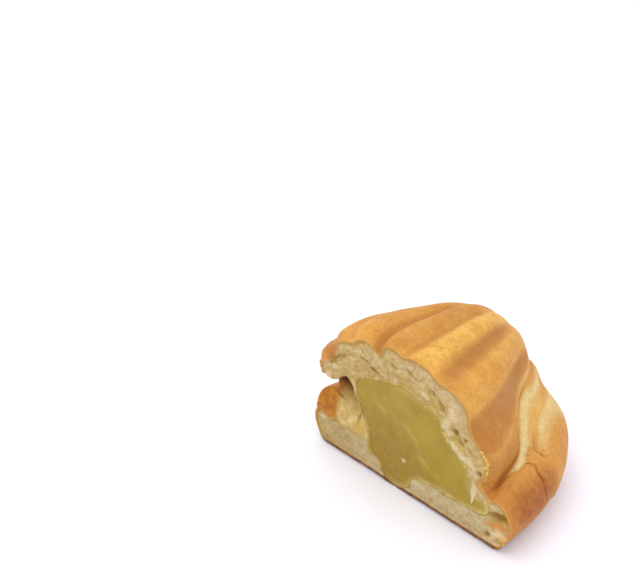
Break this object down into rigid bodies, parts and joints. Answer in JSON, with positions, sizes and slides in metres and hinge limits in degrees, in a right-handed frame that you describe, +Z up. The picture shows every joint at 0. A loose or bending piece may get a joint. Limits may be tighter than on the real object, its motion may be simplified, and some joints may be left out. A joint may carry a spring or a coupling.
{
  "type": "halved melon pan bun with filling",
  "caption": "Half of a ridged, rugby-ball-shaped sweet bun, cut across the middle, with a thick pale custard or bean filling showing at the cut.",
  "frame": {"origin": "middle of the bounding box's bottom face, on the surface the half bun rests on", "axes": "+Z up, -Y out of the cut face, +Y towards the bun's tip, +X to the right when the cut face is seen from the front"},
  "size_m": [0.1006, 0.075, 0.0653],
  "materials": {
    "bread": "golden-brown baked crust outside, pale open crumb at the cut",
    "filling": "smooth, slightly translucent olive-yellow paste"
  },
  "bodies": {
    "root": {"bread": "bread", "filling": "filling"}
  },
  "joints": []
}
